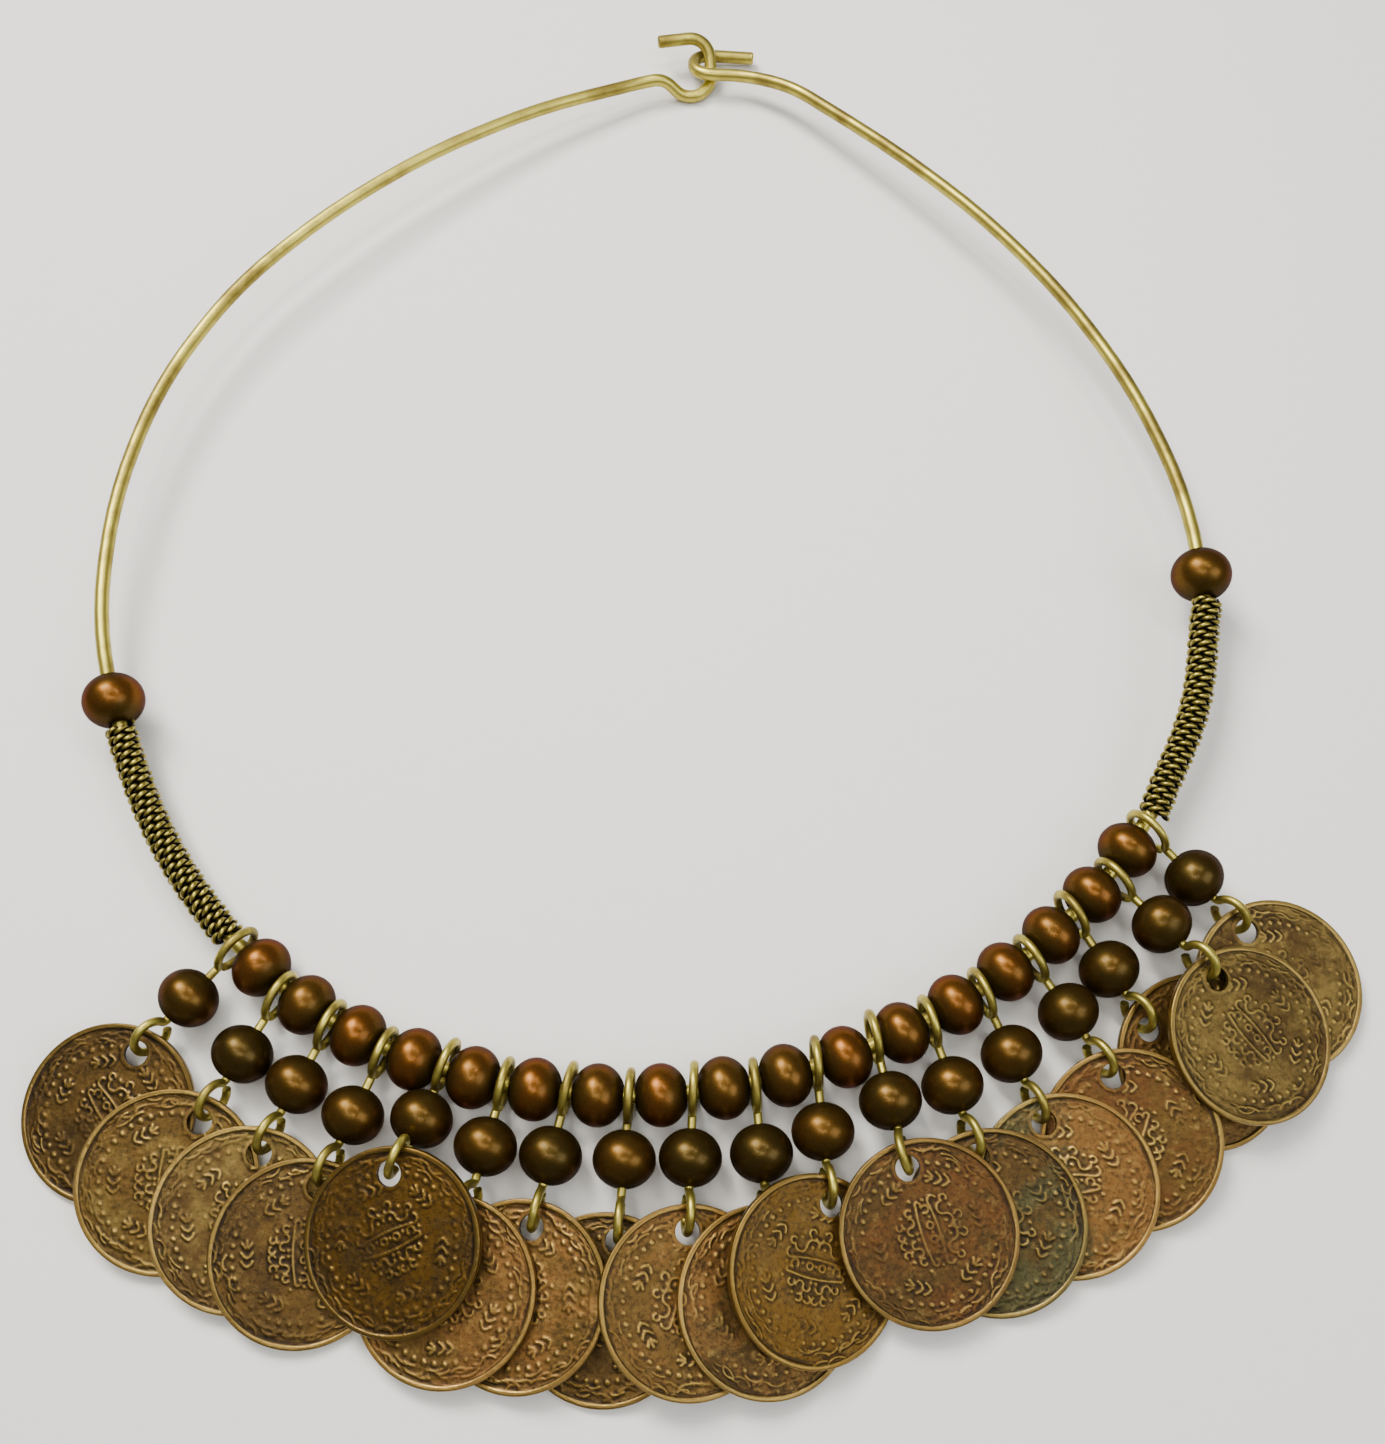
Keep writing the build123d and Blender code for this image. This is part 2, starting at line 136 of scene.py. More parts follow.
def tone(name, gain=1.0):
    """A named tone as linear red, green, blue and alpha."""
    channels = []
    for level in TONES[name]:
        share = level / 255
        linear = share / 12.92 if share <= 0.04045 else ((share + 0.055) / 1.055) ** 2.4
        channels.append(min(1.0, linear * gain))
    return (*channels, 1.0)


class Reading:
    """A value in a finish; arithmetic on it adds Math nodes."""

    def __init__(self, finish, socket):
        self.finish = finish
        self.socket = socket

    def calculate(self, operation, first, second):
        return self.finish.node("ShaderNodeMath", {"operation": operation}, {0: first, 1: second})

    def __add__(self, other):
        return self.calculate("ADD", self, other)

    __radd__ = __add__

    def __sub__(self, other):
        return self.calculate("SUBTRACT", self, other)

    def __rsub__(self, other):
        return self.calculate("SUBTRACT", other, self)

    def __mul__(self, other):
        return self.calculate("MULTIPLY", self, other)

    __rmul__ = __mul__


class Finish:
    """A material round one Principled shader."""

    def __init__(self, name):
        self.material = bpy.data.materials.new(name)
        self.material.use_nodes = True
        self.tree = self.material.node_tree
        self.shader = self.tree.nodes["Principled BSDF"]
        self.place = self.node("ShaderNodeTexCoord", output="Object")

    def node(self, kind, settings=None, inputs=None, output=0):
        made = self.tree.nodes.new(kind)
        for key, setting in (settings or {}).items():
            setattr(made, key, setting)
        for key, value in (inputs or {}).items():
            self.feed(made.inputs[key], value)
        return Reading(self, made.outputs[output])

    def feed(self, socket, value):
        if isinstance(value, Reading):
            self.tree.links.new(value.socket, socket)
        else:
            socket.default_value = value

    def surface(self, **channels):
        """Feeds the shader; underscores in the names stand for spaces."""
        for name, value in channels.items():
            self.feed(self.shader.inputs[name.replace("_", " ")], value)

    def mix(self, share, first, second):
        return self.node("ShaderNodeMix", {"data_type": "RGBA"}, {0: share, 6: first, 7: second}, 2)

    def reading(self, name):
        return self.node("ShaderNodeAttribute", {"attribute_name": name}, output="Fac")

    def noise(self, size_mm, detail=3.0, roughness=0.55):
        scale = 1 / (size_mm * MM)
        inputs = {"Vector": self.place, "Scale": scale, "Detail": detail, "Roughness": roughness}
        return self.node("ShaderNodeTexNoise", {}, inputs)

    def step(self, value, low, high):
        """0 below low, 1 above high, and a smooth turn between."""
        settings = {"interpolation_type": "SMOOTHSTEP"}
        return self.node("ShaderNodeMapRange", settings, {0: value, 1: low, 2: high})

    def bump(self, height, depth_mm, strength=1.0):
        inputs = {"Height": height, "Distance": depth_mm * MM, "Strength": strength}
        return self.node("ShaderNodeBump", {}, inputs)


def make_piece(name, points, faces, finish, readings):
    """A mesh piece from arrays of points and faces, with one reading a point for its finish."""
    mesh = bpy.data.meshes.new(name)
    mesh.from_pydata(points.tolist(), [], faces)
    for reading, values in readings.items():
        layer = mesh.attributes.new(reading, "FLOAT", "POINT")
        layer.data.foreach_set("value", np.asarray(values, np.float32))
    mesh.update()
    mesh.shade_smooth()
    mesh.set_sharp_from_angle(angle=piece_crease)
    mesh.materials.append(finish.material)
    piece = bpy.data.objects.new(name, mesh)
    bpy.context.scene.collection.objects.link(piece)
    return piece


def loft_faces(first, rings, sides, closed):
    """Faces between rings of points, numbered ring after ring from first; closed joins both ends."""
    faces = []
    for ring in range(rings if closed else rings - 1):
        here = first + ring * sides
        there = first + (ring + 1) % rings * sides
        for side in range(sides):
            after = (side + 1) % sides
            faces.append((here + side, here + after, there + after, there + side))
    return faces


def fit_in(piece, slot, *nodes):
    """Puts a piece on the one body and in place of CAD nodes; its slot is not used."""
    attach(piece, "root")
    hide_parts(*nodes)


def node_points(name):
    """The points of a CAD node."""
    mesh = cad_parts[name].data
    points = np.zeros(len(mesh.vertices) * 3)
    mesh.vertices.foreach_get("co", points)
    return points.reshape(-1, 3)


def islands(name):
    """The points of each loose solid of a CAD node."""
    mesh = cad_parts[name].data
    weld_decimals = 7
    rounded = np.round(node_points(name), weld_decimals)
    places, joined = np.unique(rounded, axis=0, return_inverse=True)
    joined = joined.ravel()
    group = np.arange(len(places))
    edges = np.zeros(len(mesh.edges) * 2, int)
    mesh.edges.foreach_get("vertices", edges)
    pairs = joined[edges.reshape(-1, 2)]

    # Points joined by edges come to share the lowest number among them
    while True:
        lowest = np.minimum(group[pairs[:, 0]], group[pairs[:, 1]])
        before = group.copy()
        np.minimum.at(group, pairs[:, 0], lowest)
        np.minimum.at(group, pairs[:, 1], lowest)
        group = group[group]
        if (group == before).all():
            break
    return [places[group == label] for label in np.unique(group)]


# Camera


def add_camera():
    """The photograph's view: 68 degrees above the surface, looking from the coins to the clasp."""
    lens_pixels = 1500
    image_width = 1385
    elevation = math.radians(68)
    place_mm = (-0.99, -86.75, 176.18)
    data = bpy.data.cameras.new("camera")
    data.sensor_fit = "HORIZONTAL"
    data.sensor_width = 36
    data.lens = data.sensor_width * lens_pixels / image_width
    data.clip_start = 10 * MM
    camera = bpy.data.objects.new("camera", data)
    camera.location = Vector(place_mm) * MM
    camera.rotation_euler = (math.pi / 2 - elevation, 0, 0)
    bpy.context.scene.collection.objects.link(camera)
    bpy.context.scene.camera = camera


# Floor and light


def add_floor():
    """A plain pale card, far wider than the necklace."""
    finish = Finish("floor_card")
    grain = finish.noise(2.5)
    finish.surface(
        Base_Color=finish.mix(grain, tone("floor", 0.97), tone("floor")),
        Roughness=0.85,
        Normal=finish.bump(finish.noise(0.5), 0.02, 0.3),
    )
    half = 2500 * MM
    corners = np.array([(-half, -half, 0), (half, -half, 0), (half, half, 0), (-half, half, 0)])
    floor = make_piece("floor", corners, [(0, 1, 2, 3)], finish, {})


def add_softbox(name, place_mm, size_mm, power, colour):
    """A rectangular soft light aimed at the middle of the necklace."""
    data = bpy.data.lights.new(name, "AREA")
    data.shape = "RECTANGLE"
    data.size = size_mm[0] * MM
    data.size_y = size_mm[1] * MM
    data.energy = power
    data.color = colour
    light = bpy.data.objects.new(name, data)
    light.location = Vector(place_mm) * MM
    light.rotation_euler = light.location.to_track_quat("Z", "Y").to_euler()
    bpy.context.scene.collection.objects.link(light)


def add_light():
    """A dim sky, a key light from behind on the left and a fill light from the front right."""
    sky_colour = (0.9, 0.94, 1.0, 1.0)
    sky_strength = 0.25
    world = bpy.data.worlds.new("studio")
    bpy.context.scene.world = world
    world.use_nodes = True
    background = world.node_tree.nodes["Background"]
    background.inputs["Color"].default_value = sky_colour
    background.inputs["Strength"].default_value = sky_strength
    add_softbox("key_light", (-260, 330, 520), (260, 260), 7.0, (1.0, 0.97, 0.92))
    add_softbox("fill_light", (380, -180, 420), (320, 320), 1.5, (0.94, 0.97, 1.0))

    # A ring of small lamps straight above, open on one side, that beads show as a bright curl
    ring_radius = 125
    ring_height = 330
    ring_places = 12
    lamps = 10
    first_bearing = math.radians(20)
    lamp_size = (34, 34)
    lamp_power = 0.12
    for lamp in range(lamps):
        bearing = 2 * math.pi * (lamp / ring_places) + first_bearing
        place = (ring_radius * math.cos(bearing), ring_radius * math.sin(bearing), ring_height)
        add_softbox(f"ring_lamp_{lamp + 1:02d}", place, lamp_size, lamp_power, (1.0, 0.97, 0.9))


# Finishes


def brass_wire(name, size_mm):
    """Pale drawn brass with faint tarnish."""
    finish = Finish(name)
    tarnish = finish.step(finish.noise(size_mm, 4.0), 0.35, 0.7)
    specks = finish.step(finish.noise(0.35, 2.0), 0.62, 0.75)
    colour = finish.mix(tarnish, tone("drawn brass"), tone("tarnished brass"))
    colour = finish.mix(specks * 0.35, colour, tone("walnut"))
    finish.surface(
        Base_Color=colour,
        Metallic=0.95,
        Roughness=0.37 + 0.12 * tarnish,
        Normal=finish.bump(finish.noise(0.3, 2.0), 0.01, 0.5),
    )
    return finish


def coiled_brass():
    """Brass strands, painted dark with shade where they meet."""
    finish = Finish("coiled_brass")
    depth = finish.reading("depth")
    colour = finish.mix(finish.noise(1.5), tone("drawn brass", 0.95), tone("tarnished brass", 0.8))
    # Painted shade: the deeper a point lies below the wrap's outer surface, between the strands and
    # towards the wire, the more it turns to the soot tone
    colour = finish.mix(finish.step(depth, 0.08, 0.5), colour, tone("soot and shade"))
    finish.surface(
        Base_Color=colour,
        Metallic=0.92,
        Roughness=0.32 + 0.2 * depth,
        Normal=finish.bump(finish.noise(0.25, 2.0), 0.01, 0.5),
    )
    return finish


def antiqued_copper(name, red, umber):
    """Copper beads: red-brown round the belly, dark patina towards the holes."""
    finish = Finish(name)
    along = finish.reading("along")
    shade = finish.reading("shade")
    cloud = finish.noise(2.6, 4.0)
    worn = finish.step(along + 0.45 * cloud, 0.45, 1.15)
    colour = finish.mix(finish.step(cloud + 0.5 * shade, 0.4, 0.95), tone(red), tone(umber))
    colour = finish.mix(worn, colour, tone("bead olive"))
    scratches = finish.noise(0.35, 4.0, 0.72)
    finish.surface(
        Base_Color=finish.mix(finish.step(scratches, 0.5, 0.75) * 0.45, colour, tone("soot and shade")),
        Metallic=0.85,
        Roughness=0.25 + 0.16 * cloud + 0.12 * worn,
        Specular_Tint=(0.3, 0.22, 0.14, 1.0),
        Coat_Weight=0.05,
        Coat_Roughness=0.12,
        Normal=finish.bump(scratches, 0.014, 0.6),
    )
    return finish


def struck_metal(number):
    """A coin's worn face: dark in the field beside the relief, bright on top of it."""
    look = CoinLook(*COINS[number])
    finish = Finish(f"coin_metal_{number:02d}")
    relief = finish.reading("relief")
    pit = finish.reading("pit")
    cloud = finish.noise(4.5, 5.0, 0.62)
    grain = finish.noise(0.5, 4.0, 0.7)
    threshold = 0.62 - 0.3 * look.share
    spread = cloud + 0.3 * (grain - 0.5) + 0.25 * look.hold * finish.reading("lean")
    patches = finish.step(spread, threshold - 0.1, threshold + 0.16)
    colour = finish.mix(patches, tone(look.main), tone(look.patch))
    blotch = finish.noise(1.3, 5.0, 0.7)
    mottle = finish.step(blotch, 0.5, 0.72)
    colour = finish.mix(mottle * (0.35 * look.rub), colour, tone("rubbed brass"))
    grime = finish.step(finish.noise(2.0, 5.0, 0.68), 0.48, 0.7)
    colour = finish.mix(grime * (0.15 + 0.4 * look.dirt), colour, tone("soot and shade"))
    speckle = finish.step(grain, 0.45, 0.72)
    colour = finish.mix(speckle * (0.38 + 0.35 * look.dirt), colour, tone("soot and shade"))
    pitted = finish.step(pit, 0.1, 0.6)
    colour = finish.mix(pitted * (0.5 + 0.4 * look.dirt), colour, tone("soot and shade"))
    rubbed = finish.step(relief + 0.3 * (grain - 0.5), 0.3, 0.85)
    colour = finish.mix(rubbed * (0.2 + 0.55 * look.rub), colour, tone("rubbed brass"))
    finish.surface(
        Base_Color=colour,
        Metallic=0.8 + 0.15 * rubbed,
        Roughness=0.46 - 0.14 * rubbed + 0.2 * (grain - 0.5),
        Normal=finish.bump(grain + 0.9 * blotch, 0.055, 0.8),
    )
    return finish


# Coins


def coin_place(name):
    """Where a coin lies, read from its CAD node, and how far its hole is from its centre.

    Its axes are X from hole to centre and Z out of its face. Its flat back gives the plane, its
    outermost points the centre, and the points of its back round the hole the hole's own centre.
    """
    back_depth = 0.02 * MM
    outline_share = 0.93
    outline_depth = 0.03 * MM
    field_depth = 0.01 * MM
    rim_zone = 0.8 * MM
    refinements = 3
    points = node_points(name)
    normal = flat_normal(points, np.array((0.0, 0.0, 1.0)))
    height = (points - points.mean(0)) @ normal

    # Most points are on the face, where the relief is
    if np.median(height) < (height.min() + height.max()) / 2:
        normal = -normal
    for _ in range(refinements):
        height = points @ normal
        normal = flat_normal(points[height < height.min() + back_depth], normal)
    across = np.linalg.svd(normal[None, :], full_matrices=True)[2][1]
    upward = np.cross(normal, across)
    flat = np.column_stack([points @ across, points @ upward])
    radius = np.linalg.norm(flat - flat.mean(0), axis=1)
    centre = circle_centre(flat[radius > outline_share * coin_radius])
    for _ in range(refinements):
        radius = np.linalg.norm(flat - centre, axis=1)
        centre = circle_centre(flat[radius > coin_radius - outline_depth])
    height = points @ normal
    radius = np.linalg.norm(flat - centre, axis=1)
    back_field = np.abs(height - height.min() - cad_relief) < field_depth
    hole = circle_centre(flat[back_field & (radius < coin_radius - rim_zone)])
    hole_reach = np.linalg.norm(centre - hole)
    to_centre = (centre - hole) / hole_reach
    x_axis = across * to_centre[0] + upward * to_centre[1]
    y_axis = np.cross(normal, x_axis)
    middle = height.min() + coin_thickness / 2
    origin = across * centre[0] + upward * centre[1] + normal * middle
    return origin, np.column_stack([x_axis, y_axis, normal]), hole_reach


def flat_normal(points, like):
    """The direction in which points spread least, on the same side as like."""
    normal = np.linalg.svd(points - points.mean(0), full_matrices=False)[2][2]
    return normal if normal @ like > 0 else -normal


def circle_centre(flat):
    """The centre of the circle through points of a plane."""
    terms = np.column_stack([flat, np.ones(len(flat))])
    answer = np.linalg.lstsq(terms, (flat**2).sum(1), rcond=None)[0]
    return answer[:2] / 2


def dome(distance, half_width):
    """The profile of a raised line or dot, 1 on its crest and 0 beyond its half width."""
    slimness = 0.6
    share = np.clip(distance / half_width, 0, 1)
    return (1 - share**2) ** slimness


def stroke(x, y, start, end, half_width):
    """A raised straight line."""
    run = np.subtract(end, start)
    share = ((x - start[0]) * run[0] + (y - start[1]) * run[1]) / (run @ run)
    share = np.clip(share, 0, 1)
    distance = np.hypot(x - start[0] - share * run[0], y - start[1] - share * run[1])
    return dome(distance, half_width)


def curl(x, y, centre, radius, first, sweep, half_width):
    """A raised arc from the bearing first onward, clockwise if sweep is negative, in degrees."""
    start = first + min(0, sweep)
    past_start = (np.degrees(np.arctan2(y - centre[1], x - centre[0])) - start) % 360
    to_arc = np.abs(np.hypot(x - centre[0], y - centre[1]) - radius)
    to_ends = []
    for bearing in (math.radians(first), math.radians(first + sweep)):
        end_x = centre[0] + radius * math.cos(bearing)
        end_y = centre[1] + radius * math.sin(bearing)
        to_ends.append(np.hypot(x - end_x, y - end_y))
    distance = np.where(past_start <= abs(sweep), to_arc, np.minimum(*to_ends))
    return dome(distance, half_width)


# Scrollwork of a coin's middle, in millimetres, each arc drawn again mirrored to the other side.
# Columns: distance from the mirror line, place along it, radius, first bearing and sweep in
# degrees.
SCROLLS = (
    (0.0, 3.35, 0.45, 200, 140),
    (0.95, 3.65, 0.4, -70, 230),
    (0.72, 2.25, 0.72, 0, 180),
    (2.12, 2.25, 0.68, 180, 170),
    (3.05, 2.6, 0.36, 230, 270),
    (0.0, -18.0, 19.1, 80.5, 19),
    (3.15, 1.35, 0.52, 270, 150),
    (0.75, 0.3, 0.36, 0, 360),
    (2.5, 0.25, 0.42, -60, 270),
    (0.0, 15.2, 16.1, 259, 22),
    (3.1, -0.35, 0.3, -90, 220),
    (0.75, -1.85, 0.42, 180, 170),
    (1.6, -1.75, 0.44, 350, 190),
    (2.6, -1.6, 0.36, 150, 260),
    (0.45, -3.1, 0.36, 120, 220),
    (1.5, -3.0, 0.36, 60, 250),
)

# Loose dots of the middle, mirrored too. Columns: distance from the mirror line and place along
# it, in millimetres.
DOTS = (
    (0.0, 2.75),
    (0.72, 2.2),
    (2.1, 3.1),
    (0.0, 0.35),
    (1.6, 0.5),
    (3.5, 0.35),
    (0.3, -1.35),
    (1.25, -2.5),
    (2.35, -2.6),
    (3.75, -1.1),
)

scroll_half_width = 0.18
scroll_dot_radius = 0.26

# Ornament round a coin's face, in millimetres and degrees. Pairs are the least and the most.
rim_line_radius = 9.3
rim_line_half_width = 0.09
rim_line_height = 0.4
leaf_count = 84
leaf_reach = (7.95, 9.1)
leaf_bend = (0.9, 2.2)
leaf_length = (1.1, 2.1)
leaf_lean = (-18, 18)
leaf_height = (0.5, 1.0)
leaf_half_width = (0.13, 0.18)
dot_count = 40
dot_ring_radius = 7.35
dot_radius = (0.3, 0.37)
sprig_count = 6
sprig_ring_radius = 5.75
chevron_gap = 0.9


def ornament(x, y, turn, seed):
    """How far the struck ornament stands at points of a coin's face, 0 to 1; x and y in millimetres."""
    rng = np.random.default_rng(seed)
    angle = math.radians(turn)
    along = x * math.cos(angle) + y * math.sin(angle)
    across = y * math.cos(angle) - x * math.sin(angle)
    radius = np.hypot(along, across)
    height = np.zeros_like(radius)

    def raise_to(profile, share=1.0):
        np.maximum(height, profile * share, out=height)

    # Wreath: slender curved leaves inside a fine line, some bulging out and some in
    raise_to(dome(np.abs(radius - rim_line_radius), rim_line_half_width), rim_line_height)
    for number in range(leaf_count):
        bearing = 360 * (number + rng.uniform(-0.4, 0.4)) / leaf_count
        reach = rng.uniform(*leaf_reach)
        bend = rng.uniform(*leaf_bend)
        sweep = math.degrees(rng.uniform(*leaf_length) / bend)
        out = rng.choice((1, -1))
        lean = rng.uniform(*leaf_lean)
        centre_reach = reach - out * bend
        centre_x = centre_reach * math.cos(math.radians(bearing))
        centre_y = centre_reach * math.sin(math.radians(bearing))
        first = bearing + lean - sweep / 2 + (0 if out > 0 else 180)
        share = rng.uniform(*leaf_height)
        half_width = rng.uniform(*leaf_half_width)
        leaf = curl(along, across, (centre_x, centre_y), bend, first, sweep, half_width)
        raise_to(leaf, share)

    # Ring of dots
    for number in range(dot_count):
        bearing = 2 * math.pi * number / dot_count
        dot_x = dot_ring_radius * math.cos(bearing)
        dot_y = dot_ring_radius * math.sin(bearing)
        to_dot = np.hypot(along - dot_x, across - dot_y)
        raise_to(dome(to_dot, rng.uniform(*dot_radius)))

    # Sprigs along a circle: a three-lobed bud over two chevrons, in millimetres forward and aside
    for number in range(sprig_count):
        bearing = 2 * math.pi * (number + 0.5) / sprig_count
        heading = bearing + math.pi / 2 * (1 if bearing < math.pi else -1)
        from_x = along - sprig_ring_radius * math.cos(bearing)
        from_y = across - sprig_ring_radius * math.sin(bearing)
        forward = from_x * math.cos(heading) + from_y * math.sin(heading)
        beside = from_y * math.cos(heading) - from_x * math.sin(heading)
        raise_to(stroke(forward, beside, (1.0, 0), (1.55, 0), 0.26))
        for side in (-1, 1):
            raise_to(stroke(forward, beside, (0.8, 0.15 * side), (1.3, 0.52 * side), 0.22))
            for foot in (-0.25, -0.25 - chevron_gap):
                knee = (foot + 0.22, 0.34 * side)
                raise_to(stroke(forward, beside, (foot, 0), knee, 0.2))
                raise_to(stroke(forward, beside, knee, (foot + 0.6, 0.6 * side), 0.19))

    # Scrollwork and dots of the middle, the same on both sides
    for mirror in (-1, 1):
        side = along * mirror
        for place_x, place_y, size, first, sweep in SCROLLS:
            arc = curl(side, across, (place_x, place_y), size, first, sweep, scroll_half_width)
            raise_to(arc)
        for dot_x, dot_y in DOTS:
            raise_to(dome(np.hypot(side - dot_x, across - dot_y), scroll_dot_radius))
    return height


def smooth_noise(x, y, size, seed):
    """Soft unevenness about 0, from a few seeded waves whose length is about size."""
    waves = 9
    rng = np.random.default_rng(seed)
    total = np.zeros_like(x)
    for _ in range(waves):
        heading = rng.uniform(0, 2 * math.pi)
        length = size * rng.uniform(0.6, 1.6)
        phase = rng.uniform(0, 2 * math.pi)
        along = x * math.cos(heading) + y * math.sin(heading)
        total += np.sin(2 * math.pi * along / length + phase)
    return total / 4


def blurred(field, reach):
    """A grid of values, each the mean of the square of neighbours out to reach."""
    out = field
    for axis in (0, 1):
        out = sum(np.roll(out, shift, axis) for shift in range(-reach, reach + 1)) / (2 * reach + 1)
    return out


def zip_rings(inner, outer, inner_angles, outer_angles):
    """Triangles between two rings of point numbers, taken in order of their angles."""
    first = np.argsort(inner_angles)
    second = np.argsort(outer_angles)
    inner = inner[first].tolist()
    outer = outer[second].tolist()
    inner_angles = inner_angles[first]
    outer_angles = outer_angles[second]
    faces = []
    a = 0
    b = 0
    while a < len(inner) or b < len(outer):
        next_a = inner_angles[a] if a < len(inner) else math.inf
        next_b = outer_angles[b] if b < len(outer) else math.inf
        if next_a < next_b:
            faces.append((inner[a - 1], inner[a], outer[b - 1]))
            a += 1
        else:
            faces.append((outer[b - 1], inner[a - 1], outer[b]))
            b += 1
    return faces


def face_levels(number, x, y, hole_reach):
    """Height, relief and pit at points of a coin's face: ornament, worn field, rim and burr."""
    burr_radius = 1.55
    burr_half_width = 0.3
    burr_height = 0.5
    across = x / MM
    upward = y / MM
    radius = np.hypot(across, upward)
    strike = np.clip(0.72 + 0.28 * smooth_noise(across, upward, 9, number), 0.3, 1)
    struck = ornament(across, upward, CoinLook(*COINS[number]).turn, number) * strike
    rim_line = (coin_radius - coin_rim_width) / MM
    slope = front_rim_slope / MM
    on_rim = np.clip((radius - rim_line + slope / 2) / slope, 0, 1)
    from_hole = np.hypot(across + hole_reach / MM, upward)
    burr = dome(np.abs(from_hole - burr_radius), burr_half_width) * burr_height
    struck = np.maximum(struck * 0.85 * (1 - on_rim), np.maximum(on_rim, burr))

    # Wear in waves about 3.2 and 1.1 mm long, with seeds of their own
    uneven = 0.09 * smooth_noise(across, upward, 3.2, number + 50)
    uneven += 0.05 * smooth_noise(across, upward, 1.1, number + 90)
    level = np.clip(struck + uneven * (1 - on_rim), -0.15, 1.0)
    height = coin_thickness / 2 - coin_relief * (1 - level)
    around = blurred(struck, 3)
    relief = np.clip(0.5 * struck + 1.1 * (struck - around), 0, 1.2)
    pit = np.clip(around - struck, 0, 1) * 2.2
    return height, relief, pit


def coin_mesh(number, hole_reach):
    """Points, faces and readings of one coin, lying at the origin with its hole toward -X."""
    line = np.linspace(-1, 1, coin_grid)
    u, v = np.meshgrid(line, line, indexing="ij")
    top_radius = coin_radius - coin_edge_chamfer
    lip_zone = 1 * MM
    x = top_radius * u * np.sqrt(1 - v**2 / 2)
    y = top_radius * v * np.sqrt(1 - u**2 / 2)
    from_hole = np.hypot(x + hole_reach, y)
    inside = from_hole < coin_hole_radius

    # Faces clear of the hole. The points that they leave round it move onto its circle.
    total = coin_grid**2
    numbers = np.arange(total).reshape(coin_grid, coin_grid)
    corners = [numbers[:-1, :-1], numbers[1:, :-1], numbers[1:, 1:], numbers[:-1, 1:]]
    keep = ~(inside[:-1, :-1] | inside[1:, :-1] | inside[1:, 1:] | inside[:-1, 1:])
    quads = np.column_stack([corner[keep] for corner in corners])
    uses = np.bincount(quads.ravel(), minlength=total)
    near_hole = from_hole.ravel() < coin_hole_radius + lip_zone
    lip = np.where((uses > 0) & (uses < 4) & near_hole)[0]
    angles = np.arctan2(y.flat[lip], x.flat[lip] + hole_reach)
    x.flat[lip] = coin_hole_radius * np.cos(angles) - hole_reach
    y.flat[lip] = coin_hole_radius * np.sin(angles)

    height, face_relief, face_pit = face_levels(number, x, y, hole_reach)
    points = [np.column_stack([x.ravel(), y.ravel(), height.ravel()])]
    relief = [face_relief.ravel()]
    pit = [face_pit.ravel()]
    faces = quads.tolist()

    # Edge rings, from the face's rim round to the back. Columns: radius, height and relief.
    edge = np.concatenate([numbers[:-1, 0], numbers[-1, :-1], numbers[:0:-1, -1], numbers[0, :0:-1]])
    edge_angles = np.arctan2(y.flat[edge], x.flat[edge])
    half = coin_thickness / 2
    back_field = -(half - coin_relief)
    inner_rim = coin_radius - coin_rim_width
    rings = (
        (coin_radius, half - coin_edge_chamfer, 1.0),
        (coin_radius, -half + coin_edge_chamfer, 1.0),
        (top_radius, -half, 1.0),
        (inner_rim, -half, 0.7),
        (inner_rim - back_rim_slope, back_field, 0.0),
    )
    above = edge
    for ring_radius, ring_height, share in rings:
        below = np.arange(total, total + len(edge))
        ring_x = ring_radius * np.cos(edge_angles)
        ring_y = ring_radius * np.sin(edge_angles)
        points.append(np.column_stack([ring_x, ring_y, np.full(len(edge), ring_height)]))
        relief.append(np.full(len(edge), share))
        pit.append(np.zeros(len(edge)))
        faces += np.column_stack([above, below, np.roll(below, -1), np.roll(above, -1)]).tolist()
        above = below
        total += len(edge)

    # Wall of the hole, and the plain back between the hole and the rim
    order = np.argsort(angles)
    lip = lip[order]
    foot = np.arange(total, total + len(lip))
    points.append(np.column_stack([x.flat[lip], y.flat[lip], np.full(len(lip), back_field)]))
    relief.append(np.full(len(lip), 0.2))
    pit.append(np.full(len(lip), 0.6))
    faces += np.column_stack([lip, np.roll(lip, -1), np.roll(foot, -1), foot]).tolist()
    points = np.vstack(points)
    outer_angles = np.arctan2(points[above, 1], points[above, 0] + hole_reach)
    faces += zip_rings(foot, above, angles[order], outer_angles)

    # Points that no face uses are left out
    used = np.unique(np.concatenate([np.ravel(face) for face in faces]))
    renumber = np.full(len(points), -1)
    renumber[used] = np.arange(len(used))
    renumber = renumber.tolist()
    faces = [[renumber[corner] for corner in face] for face in faces]
    points = points[used]
    side = math.radians(CoinLook(*COINS[number]).bearing)
    lean = (points[:, 0] * math.cos(side) + points[:, 1] * math.sin(side)) / coin_radius
    readings = {
        "relief": np.concatenate(relief)[used],
        "pit": np.concatenate(pit)[used],
        "lean": lean,
    }
    return points, faces, readings


def add_coins():
    """Struck coins, each in place of its CAD node."""
    for number in COINS:
        node = f"coin_{number:02d}"
        origin, axes, hole_reach = coin_place(node)
        points, faces, readings = coin_mesh(number, hole_reach)
        placed = points @ axes.T + origin
        piece = make_piece(f"struck_{node}", placed, faces, struck_metal(number), readings)
        fit_in(piece, "coins", node)


# Beads


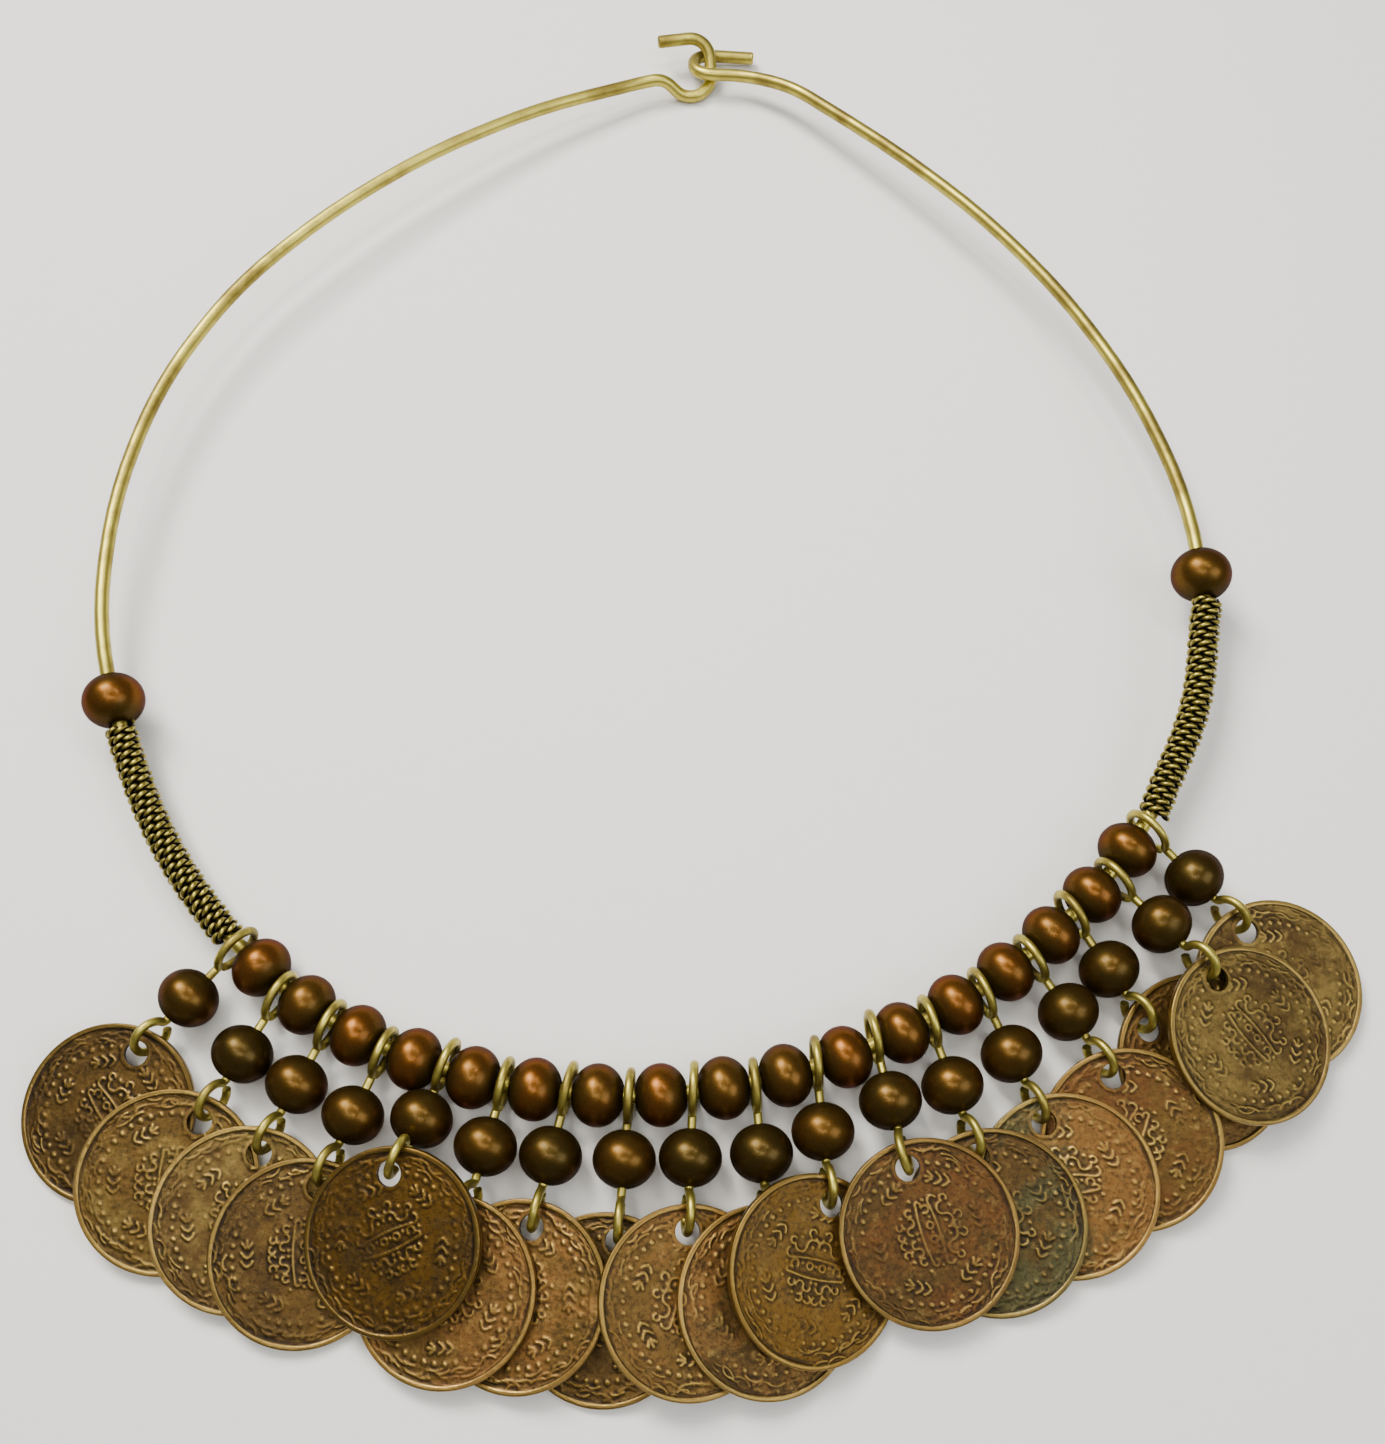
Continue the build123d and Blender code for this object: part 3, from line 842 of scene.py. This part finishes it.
def bead_place(points):
    """A bead's middle, its hole's axis, two directions across, half its length and its radius."""
    middle = (points.min(0) + points.max(0)) / 2
    values, axes = np.linalg.eigh(np.cov((points - points.mean(0)).T))

    # The hole runs along the axis whose spread is unlike the other two
    odd_one = 0 if values[1] - values[0] > values[2] - values[1] else 2
    axis = axes[:, odd_one]
    side = axes[:, 1]
    shift = (points - middle) @ axis
    middle = middle + axis * (shift.min() + shift.max()) / 2
    from_middle = points - middle
    reach = np.linalg.norm(from_middle - np.outer(from_middle @ axis, axis), axis=1)
    return middle, axis, side, np.cross(axis, side), np.ptp(shift) / 2, reach.max()


def add_beads(name, finish, nodes, hole_radius):
    """Turned beads in place of the CAD ones, joined in one piece, with the place along each hole."""
    rng = np.random.default_rng(bead_shade_seed)
    bearings = np.linspace(0, 2 * math.pi, bead_sides, endpoint=False)[:, None]
    points, faces, along, shades = [], [], [], []
    for node in nodes:
        for solid in islands(node):
            middle, axis, side, other, half_length, belly = bead_place(solid)
            profile = bead_profile(half_length, belly, hole_radius)
            faces += loft_faces(len(points) * bead_sides, len(profile), bead_sides, closed=True)
            shade = rng.uniform(0, 1)
            for place, radius in profile:
                outward = np.cos(bearings) * side + np.sin(bearings) * other
                points.append(middle + axis * place + radius * outward)
                along.append(np.full(bead_sides, abs(place) / half_length))
                shades.append(np.full(bead_sides, shade))
    readings = {"along": np.concatenate(along), "shade": np.concatenate(shades)}
    piece = make_piece(name, np.vstack(points), faces, finish, readings)
    fit_in(piece, "beads", *nodes)


def bead_profile(half_length, belly, hole_radius):
    """Place along the hole and radius of each ring, out over the belly and back through the hole."""
    outer_end = math.sqrt(max(0.0, 1 - ((hole_radius + bead_hole_lip) / belly) ** 2))
    rows = []
    for band in range(bead_bands + 1):
        share = math.sin(math.pi / 2 * (2 * band / bead_bands - 1))
        round_radius = belly * math.sqrt(max(0.0, 1 - (share * outer_end) ** 2))
        rows.append((share * half_length, max(hole_radius + bead_hole_lip, round_radius)))
    hole_end = half_length - 0.6 * bead_hole_lip
    rows.append((hole_end, hole_radius))
    rows.append((-hole_end, hole_radius))
    return rows


# Wraps


def wrap_line(points):
    """A smooth centre line through a wrap, from one end to the other, as a function of 0 to 1."""
    middle = points.mean(0)
    chord = np.linalg.svd(points - middle, full_matrices=False)[2][0]
    along = (points - middle) @ chord
    share = (along - along.min()) / (along.max() - along.min())
    edges = np.linspace(0, 1, wrap_slices + 1)
    fewest_points = 9
    places, centres = [], []
    for low, high in zip(edges[:-1], edges[1:]):
        inside = (share >= low) & (share <= high)
        if inside.sum() >= fewest_points:
            places.append((low + high) / 2)
            centres.append(points[inside].mean(0))
    fit = np.polyfit(places, np.array(centres), wrap_line_degree)
    return lambda at: np.stack([np.polyval(fit[:, axis], at) for axis in range(3)], axis=-1)


def unit(vectors):
    """Rows of vectors, each made 1 long."""
    return vectors / np.linalg.norm(vectors, axis=1)[:, None]


def add_wrap(node, turns, finish):
    """Two fine strands twisted together and coiled round the neck wire."""
    steps = turns * steps_per_turn
    margin = (strand_radius + strand_offset) / (turns * wrap_pitch)
    centre = wrap_line(node_points(node))(np.linspace(margin, 1 - margin, steps + 1))
    heading = unit(np.gradient(centre, axis=0))
    side = unit(np.cross(heading, (0.0, 0.0, 1.0)))
    over = np.cross(side, heading)
    turn = 2 * math.pi * turns * np.linspace(0, 1, steps + 1)[:, None]
    out = side * np.cos(turn) + over * np.sin(turn)
    path = centre + (wrap_outer_radius - strand_radius - strand_offset) * out
    beside = np.cross(unit(np.gradient(path, axis=0)), out)
    # Depth below the wrap's outer surface over which the painted shade between strands, and the
    # roughness, grow to full
    dark_depth = 3 * strand_radius
    points, faces, depths = [], [], []
    for strand in (0, 1):
        twist = math.pi * strand - turn * twists_per_turn
        offset = out * np.cos(twist) + beside * np.sin(twist)
        strand_path = path + strand_offset * offset
        strand_heading = unit(np.gradient(strand_path, axis=0))
        normal = unit(offset - (offset * strand_heading).sum(1)[:, None] * strand_heading)
        binormal = np.cross(strand_heading, normal)
        rings = []
        for corner in range(strand_sides):
            bearing = 2 * math.pi * corner / strand_sides
            outward = normal * math.cos(bearing) + binormal * math.sin(bearing)
            rings.append(strand_path + strand_radius * outward)
        tube = np.stack(rings, axis=1)
        rise = ((tube - centre[:, None]) * out[:, None]).sum(2)
        depths.append(np.clip((wrap_outer_radius - rise) / dark_depth, 0, 1).ravel())
        first = strand * (steps + 1) * strand_sides
        last = first + steps * strand_sides
        faces += loft_faces(first, steps + 1, strand_sides, closed=False)
        faces.append(tuple(range(first, first + strand_sides))[::-1])
        faces.append(tuple(range(last, last + strand_sides)))
        points.append(tube.reshape(-1, 3))
    readings = {"depth": np.concatenate(depths)}
    piece = make_piece(f"coiled_{node}", np.vstack(points), faces, finish, readings)
    fit_in(piece, "wraps", node)


def dress(nodes, finish):
    """Puts a finish on CAD nodes that are shown as they are."""
    for node in nodes:
        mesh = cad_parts[node].data
        mesh.materials.clear()
        mesh.materials.append(finish.material)
        mesh.shade_smooth()
        mesh.set_sharp_from_angle(angle=node_crease)


add_camera()
add_floor()
add_light()
add_coins()
neck_copper = antiqued_copper("neck_bead_copper", "bead red", "bead umber")
drop_copper = antiqued_copper("drop_bead_copper", "bead umber", "bead olive")
add_beads("neck_bead_string", neck_copper, ["neck_beads"], neck_hole_radius)
add_beads("drop_bead_set", drop_copper, ["drop_beads"], drop_hole_radius)
add_beads("end_beads", neck_copper, ["end_bead_left", "end_bead_right"], neck_hole_radius)
coil_finish = coiled_brass()
add_wrap("wrap_left", left_wrap_turns, coil_finish)
add_wrap("wrap_right", right_wrap_turns, coil_finish)
dress(["neck_wire"], brass_wire("neck_wire_brass", 6.0))
eye_wires = [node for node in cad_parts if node.startswith("drop_wire")]
dress(eye_wires, brass_wire("eye_wire_brass", 3.0))
